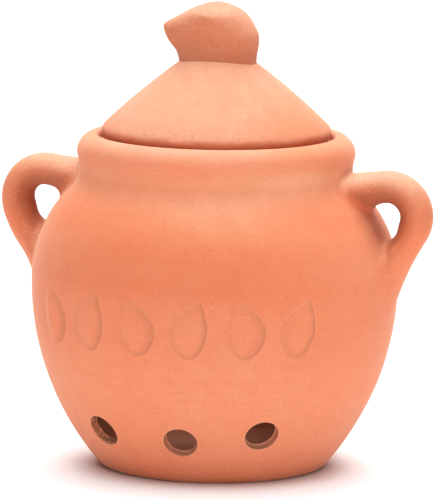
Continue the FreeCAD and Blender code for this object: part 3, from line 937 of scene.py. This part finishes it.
def make_handle(name, turn, swell, bow):
    strap = Strap(bow)
    angle = circle(HANDLE_AROUND)
    middle = strap.upper + strap.bend_length / 2
    outer = np.maximum(np.sin(angle), 0) ** 2
    inner = np.maximum(-np.sin(angle), 0) ** 2
    top_fillet = TOP_FILLET + TOP_OUTSIDE * outer + TOP_INSIDE * inner
    low_fillet = LOW_FILLET + swell * outer + LOW_INSIDE * inner
    upper_line = np.linspace(0, middle, ROOT_SAMPLES)
    lower_line = np.linspace(strap.length, middle, ROOT_SAMPLES)
    upper_leaves, upper = strap.root(upper_line, angle, top_fillet)
    lower_leaves, lower = strap.root(lower_line, angle, low_fillet)
    share = np.linspace(0, 1, HANDLE_ALONG)[1:-1]
    between = [strap.surface(upper_leaves + (lower_leaves - upper_leaves) * k, angle)[0] for k in share]
    rings = np.array(upper[::-1] + between + lower)
    points, faces = skin(rings, rings[0].mean(0), rings[-1].mean(0))
    x, y = points[:, 0].copy(), points[:, 1].copy()
    cosine, sine = math.cos(turn), math.sin(turn)
    points[:, 0], points[:, 1] = x * cosine - y * sine, x * sine + y * cosine
    on_strap = np.clip(nearest_wall(points)[0] / STRAP_CLEAR, 0, 1)
    inside_loop = np.tile((1 - np.sin(angle)) / 2, len(rings))
    in_loop = np.append(np.clip(2.1 * inside_loop - 0.6, 0, 1), (0, 0))
    high = np.clip((points[:, 2] - STRAP_TOP) / STRAP_TOP_FADE, 0, 1)
    # Painted shade on the strap, and on the wall beside the loop
    coarse_and_shade = on_strap * (STRAP_SHADE + STRAP_TOP_SHADE * high + STRAP_LOOP_SHADE * in_loop)
    coarse_and_shade = np.maximum(coarse_and_shade, LOOP_SHADE * loop_shade_share(points) * (1 - on_strap * (1 - in_loop)))
    piece = mesh_piece(name, by_hand(points), faces, coarse_and_shade)
    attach(piece, "pot")
    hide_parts(name.replace("ear", "handle"))
    return piece


crest = int(np.argmax(outside[:, 1]))
WALL_LINE = outside[WALL_LINE_START:crest:2]
tangent = np.gradient(WALL_LINE, axis=0)
WALL_FACING = unit(np.stack([tangent[:, 1], -tangent[:, 0]], 1))
make_handle("ear_right", 0.0, 0.0045, 0.0)
make_handle("ear_left", math.pi, 0.0012, 0.0009)

# ---- Sprigs ----
# A row of six plain cloves of garlic in low relief round the front of the belly, leaning left
# and right in turn, pressed from moulds and luted on before firing.

CLOVE_SIZES = {
    "Count": 6,
    "Pitch": math.radians(17.4),
    "Band height": 0.0527,
    "Length": 0.0205,
    "Width": 0.0142,
    "Relief": 0.00118,
    "Bend": 0.0016,
}
CLOVE_DOME = 2.1            # 2 is a round back, more is flatter with a steeper edge
CLOVE_RIM = 0.9             # where its edge runs out, as a part of its half width
CLOVE_LEAN = math.radians(13)
CLOVE_BURIED = 0.0003       # its rim lies this far under the wall
CLOVE_BACK = 0.0004         # and its back this much further in
CLOVE_DRAWN = 0.22          # how much the tip is drawn out, and narrowed
CLOVE_NARROWED = 0.55
CLOVE_HALF = 0.47           # what is left of the length from the middle to the round end
CLOVE_RIDGE = 0.3           # how far aside its ridge runs, and how it falls from there
RIDGE_POWER = 1.1
RIDGE_FALL = 0.5
EDGE_POWER = 0.8
CLOVE_CORNERS = {"Segments": 80, "Rings": 36, "Radius": 1.0}
CLOVE_STEP_SHADE = 1.2           # painted shade in the step round each clove
EDGE_HEIGHT = 0.0007


def clove_on_wall(tree, given, lean):
    """One closed clove at the middle of the front, leaning to one side: -1 left, 1 right."""
    calc = partial(arithmetic, tree)
    times = partial(calc, "MULTIPLY")
    ball = add_node(tree, "GeometryNodeMeshUVSphere", **CLOVE_CORNERS)
    position = tree.nodes.new("GeometryNodeInputPosition")
    x, y, front = add_node(tree, "ShaderNodeSeparateXYZ", position.outputs[0]).outputs
    flat = calc("SQRT", calc("ADD", times(x, x), times(y, y)))
    share = calc("DIVIDE", calc("ARCTAN2", flat, calc("ABSOLUTE", front)), math.pi / 2)
    spread = calc("DIVIDE", share, calc("MAXIMUM", flat, 1e-6))
    x, y = times(x, spread), times(y, spread)
    tip = calc("MAXIMUM", y, 0.0)
    tip = times(tip, tip)

    along = times(y, calc("ADD", times(tip, CLOVE_DRAWN), 1.0))
    along = times(along, times(given["Length"], CLOVE_HALF))
    across = times(x, calc("SUBTRACT", 1.0, times(tip, CLOVE_NARROWED)))
    across = times(across, times(given["Width"], 0.5))
    bow = times(calc("SUBTRACT", times(y, y), 0.3), given["Bend"])
    across = calc("ADD", across, times(bow, lean))

    inward = calc("SUBTRACT", 1.0, calc("POWER", calc("DIVIDE", share, CLOVE_RIM), CLOVE_DOME))
    slope = calc("POWER", calc("MAXIMUM", inward, 0.0), EDGE_POWER)
    aside = calc("ABSOLUTE", calc("SUBTRACT", x, CLOVE_RIDGE * lean))
    ridge = calc("SUBTRACT", 1.0, times(calc("POWER", aside, RIDGE_POWER), RIDGE_FALL))
    raised = times(times(slope, ridge), given["Relief"])
    raised = calc("SUBTRACT", raised, remap(tree, share, CLOVE_RIM, 1.0, 0.00002, CLOVE_BURIED))
    back = calc("SUBTRACT", times(share, CLOVE_BACK), CLOVE_BURIED + CLOVE_BACK)
    is_front = calc("GREATER_THAN", front, 0.0)
    lift = calc("ADD", back, times(is_front, calc("SUBTRACT", raised, back)))

    cosine, sine = math.cos(CLOVE_LEAN), -math.sin(CLOVE_LEAN) * lean
    turned = calc("SUBTRACT", times(across, cosine), times(along, sine))
    rise = calc("ADD", times(across, sine), times(along, cosine))
    height = calc("ADD", rise, given["Band height"])
    off = calc("SUBTRACT", height, BELLY_HEIGHT)
    lower, upper = [calc("ADD", calc("SQRT", calc("SUBTRACT", radius ** 2, times(off, off))), centre)
                    for centre, radius in (LOWER_WALL, SHOULDER)]
    above = calc("GREATER_THAN", height, BELLY_HEIGHT)
    wall = calc("ADD", lower, times(above, calc("SUBTRACT", upper, lower)))
    radius = calc("ADD", wall, lift)
    angle = calc("DIVIDE", turned, BELLY_RADIUS)
    place = add_node(tree, "ShaderNodeCombineXYZ", times(radius, calc("SINE", angle)),
                     times(calc("COSINE", angle), times(radius, -1.0)), height)
    return add_node(tree, "GeometryNodeSetPosition", Geometry=ball.outputs["Mesh"],
                    Position=place.outputs[0]).outputs[0]


def clove_band():
    """Node tree and its inputs by name: cloves in turn, swung round the pot's axis."""
    tree = bpy.data.node_groups.new("clove band", "GeometryNodeTree")
    named = {}
    for name, value in CLOVE_SIZES.items():
        kind = "NodeSocketInt" if isinstance(value, int) else "NodeSocketFloat"
        named[name] = tree.interface.new_socket(name, in_out="INPUT", socket_type=kind)
    tree.interface.new_socket("Geometry", in_out="OUTPUT", socket_type="NodeSocketGeometry")
    given = tree.nodes.new("NodeGroupInput").outputs

    pair = tree.nodes.new("GeometryNodeGeometryToInstance")
    for lean in (1, -1):
        tree.links.new(clove_on_wall(tree, given, lean), pair.inputs[0])
    line = add_node(tree, "GeometryNodeMeshLine", Offset=(0, 0, 0), Count=given["Count"])
    number = tree.nodes.new("GeometryNodeInputIndex").outputs[0]
    last = arithmetic(tree, "SUBTRACT", given["Count"], 1)
    middle = arithmetic(tree, "MULTIPLY", last, 0.5)
    turn = arithmetic(tree, "MULTIPLY", arithmetic(tree, "SUBTRACT", number, middle), given["Pitch"])
    swing = add_node(tree, "ShaderNodeCombineXYZ", 0.0, 0.0, turn)
    placed = add_node(tree, "GeometryNodeInstanceOnPoints", Points=line.outputs["Mesh"],
                      Instance=pair.outputs[0], Pick_Instance=True, Rotation=swing.outputs[0],
                      Instance_Index=arithmetic(tree, "MODULO", number, 2))
    real = add_node(tree, "GeometryNodeRealizeInstances", placed.outputs[0])
    finish = add_node(tree, "GeometryNodeSetMaterial", Geometry=real.outputs[0], Material=clay)
    add_node(tree, "NodeGroupOutput", finish.outputs[0])
    return tree, named


tree, named = clove_band()
mould = add_object("mould", bpy.data.meshes.new("mould"))
pressed = mould.modifiers.new("cloves", "NODES")
pressed.node_group = tree
for name, value in CLOVE_SIZES.items():
    pressed[named[name].identifier] = value
bpy.context.view_layer.update()
relief = bpy.data.meshes.new_from_object(mould.evaluated_get(bpy.context.evaluated_depsgraph_get()))
bpy.data.objects.remove(mould)
place, facing = per_vertex(relief, "co"), per_vertex(relief, "normal")
below = place[:, 2] < BELLY_HEIGHT
wall = np.where(below, wall_radius(LOWER_WALL, place[:, 2]), wall_radius(SHOULDER, place[:, 2]))
proud = np.hypot(place[:, 0], place[:, 1]) - wall
turn = np.arctan2(place[:, 0], -place[:, 1])
# Painted shade lies where a step faces right or down, away from the light
rightward = facing[:, 0] * np.cos(turn) + facing[:, 1] * np.sin(turn)
shaded_side = np.clip(0.45 + 1.1 * rightward - 0.5 * facing[:, 2], 0.1, 1)
relief.vertices.foreach_set("co", by_hand(place).ravel())
relief.materials.clear()
step_shade = CLOVE_STEP_SHADE * shaded_side * np.clip(1 - proud / EDGE_HEIGHT, 0, 1)
sprigs = clay_piece("sprigs", relief, step_shade)
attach(sprigs, "pot")

# ---- Lid ----
# A hollow cone of the same clay. Its flat seat drops into the gallery with a little play and
# rests on the ledge, and its lower edge curves under.

LID_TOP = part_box("lid")[1].z
LID_RADIUS = 0.0376
LID_SEAT_RADIUS = 0.0362
LID_SEAT_WIDTH = 0.0054
LID_EDGE_HEIGHT = 0.005
LID_TOP_RADIUS = 0.009
LID_SWELL = 0.0008
LID_WALL = 0.0042
LID_BORE_RISE = 0.003       # the seat's bore is upright this far up
LID_UNDERCUT = (0.0003, 0.0014)     # where the edge starts to curve under: inward and down
LID_SEGMENTS = 288
LID_STEP = 0.0016
EDGE_TOP = 0.0107           # painted shade lies on the edge from this far above the ledge downward
EDGE_FADE = 0.0065
LID_EDGE_SHADE = 0.9


def lid_slope(inset):
    """The cone's line, a little swollen past straight, or its copy inside the wall."""
    foot = np.array([LID_RADIUS, LEDGE_HEIGHT + LID_EDGE_HEIGHT])
    top = np.array([LID_TOP_RADIUS, LID_TOP])
    along = unit(top - foot)
    outward = np.array([along[1], -along[0]])
    share = np.linspace(0, 1, 60)[:, None]
    swell = LID_SWELL * 4 * share * (1 - share)
    return foot + (top - foot) * share + outward * (swell - inset)


bore = LID_SEAT_RADIUS - LID_SEAT_WIDTH
inside_slope = lid_slope(LID_WALL)[::-1]
inside_slope = inside_slope[(inside_slope[:, 0] < bore) & (inside_slope[:, 1] < LID_TOP - LID_WALL)]
lid_line = soften([
    ([(0, LID_TOP - LID_WALL)], INSIDE_SOFT),
    (inside_slope, INSIDE_SOFT),
    ([(bore, LEDGE_HEIGHT + LID_BORE_RISE)], LID_SOFT),
    ([(bore, LEDGE_HEIGHT), (LID_SEAT_RADIUS, LEDGE_HEIGHT)], CRISP),
    ([(LID_RADIUS - LID_UNDERCUT[0], LEDGE_HEIGHT + LID_EDGE_HEIGHT - LID_UNDERCUT[1])], LID_SOFT),
    (lid_slope(0.0), LID_SOFT),
    ([(0, LID_TOP)], LID_SOFT),
])
lid_points, lid_faces = lathe(thin_out(lid_line, LID_STEP, LATHE_TURN), LID_SEGMENTS)
# Painted shade on the lid's lower edge
edge_shade_share = np.clip((LEDGE_HEIGHT + EDGE_TOP - lid_points[:, 2]) / EDGE_FADE, 0, 1)
lid = mesh_piece("cover", by_hand(lid_points), lid_faces, LID_EDGE_SHADE * edge_shade_share)
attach(lid, "lid")
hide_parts("lid")

# ---- Knob ----
# A clove of garlic modelled in the same clay and stuck to the lid on its side, tip to the left.
# Its front is nearly upright, and a soft ridge runs along its top.

# Height above the lid's flat, reach to the tip, reach to the butt, front to back, and how much
# narrower the tip end is
KNOB_OVALS = [
    (-0.0050, 0.0127, 0.0129, 0.0218, -0.06),
    (-0.0025, 0.0128, 0.0130, 0.0221, -0.04),
    (0.0005, 0.0139, 0.0133, 0.0223, 0.08),
    (0.0035, 0.0166, 0.0137, 0.0221, 0.25),
    (0.0065, 0.0182, 0.0135, 0.0218, 0.38),
    (0.0092, 0.0182, 0.0121, 0.0223, 0.40),
    (0.0114, 0.0148, 0.0106, 0.0225, 0.32),
    (0.0130, 0.0119, 0.0091, 0.0222, 0.25),
    (0.0139, 0.0103, 0.0080, 0.0208, 0.20),
    (0.0149, 0.0083, 0.0066, 0.0170, 0.14),
    (0.0159, 0.0058, 0.0046, 0.0114, 0.08),
    (0.0166, 0.0034, 0.0027, 0.0062, 0.00),
]
KNOB_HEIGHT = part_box("lid_knob")[1].z - LID_TOP
KNOB_SUNK = 0.002           # its underside's middle lies this far in the lid
KNOB_STEPS = 8
KNOB_AROUND = 160
KNOB_LUMPS = 0.00016
LUMPS_PER_METRE = 260
LUMPS_IN = 0.8              # sinks the lumps as a whole, so that the knob keeps its size
# Painted shade on the knob
KNOB_SHADE = 0.64
KNOB_FOOT = 0.008           # over this height from the lid up its painted shade is deeper still
KNOB_FOOT_SHADE = 0.55
# Finger marks: place, reach along each axis, and depth in metres
KNOB_DENTS = [
    ((0.003, -0.0110, LID_TOP + 0.0040), (0.006, 0.006, 0.0014), 0.00030),
    ((-0.004, -0.0110, LID_TOP + 0.0046), (0.005, 0.006, 0.0016), 0.00022),
    ((0.009, -0.0090, LID_TOP + 0.0078), (0.004, 0.006, 0.0045), 0.00035),
    ((-0.011, -0.0080, LID_TOP + 0.0030), (0.005, 0.006, 0.0030), 0.00060),
    ((0.0, 0.011, LID_TOP + 0.0055), (0.008, 0.006, 0.003), 0.0006),
]


def curve_through(knots, steps):
    """Rows on a smooth curve through the knots, which end at a pole where it turns back."""
    mirrored = knots[-2] * np.array([1, -1, -1, -1, 1])
    padded = np.concatenate([[2 * knots[0] - knots[1]], knots, [mirrored]])
    rows = []
    for k in range(1, len(padded) - 2):
        before, start, end, after = padded[k - 1:k + 3]
        for share in np.arange(steps) / steps:
            rows.append(0.5 * (2 * start + (end - before) * share
                               + (2 * before - 5 * start + 4 * end - after) * share ** 2
                               + (3 * start - before - 3 * end + after) * share ** 3))
    return np.array(rows)


def press(points, facing):
    """Soft clay takes the dents of the fingers, and stays a little lumpy between them."""
    for place, reach, depth in KNOB_DENTS:
        away = (points - np.array(place)) / np.array(reach)
        points = points - depth * np.exp(-(away ** 2).sum(1))[:, None] * facing
    lumps = np.array([noise_at(Vector(point) * LUMPS_PER_METRE) for point in points])
    return points + KNOB_LUMPS * (lumps - LUMPS_IN)[:, None] * facing


crown = (KNOB_HEIGHT, 0, 0, 0, 0)
rows = curve_through(np.array(KNOB_OVALS + [crown]), KNOB_STEPS)
angle = circle(KNOB_AROUND)
level, over = np.cos(angle), np.sin(angle)
height, tip, butt, depth, taper = [column[:, None] for column in rows.T]
rings = np.stack([(butt - tip) / 2 + (butt + tip) / 2 * level,
                  depth / 2 * over * (1 + taper * level),
                  LID_TOP + height + 0 * level], 2)
points, faces = skin(rings, (0, 0, LID_TOP - KNOB_SUNK), (0, 0, LID_TOP + KNOB_HEIGHT))
points = press(points, unit(points * (1, 1, 0)))
low = np.clip((LID_TOP + KNOB_FOOT - points[:, 2]) / KNOB_FOOT, 0, 1)
knob = mesh_piece("clove_knob", by_hand(points), faces, KNOB_SHADE + KNOB_FOOT_SHADE * low)
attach(knob, "lid")
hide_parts("lid_knob")
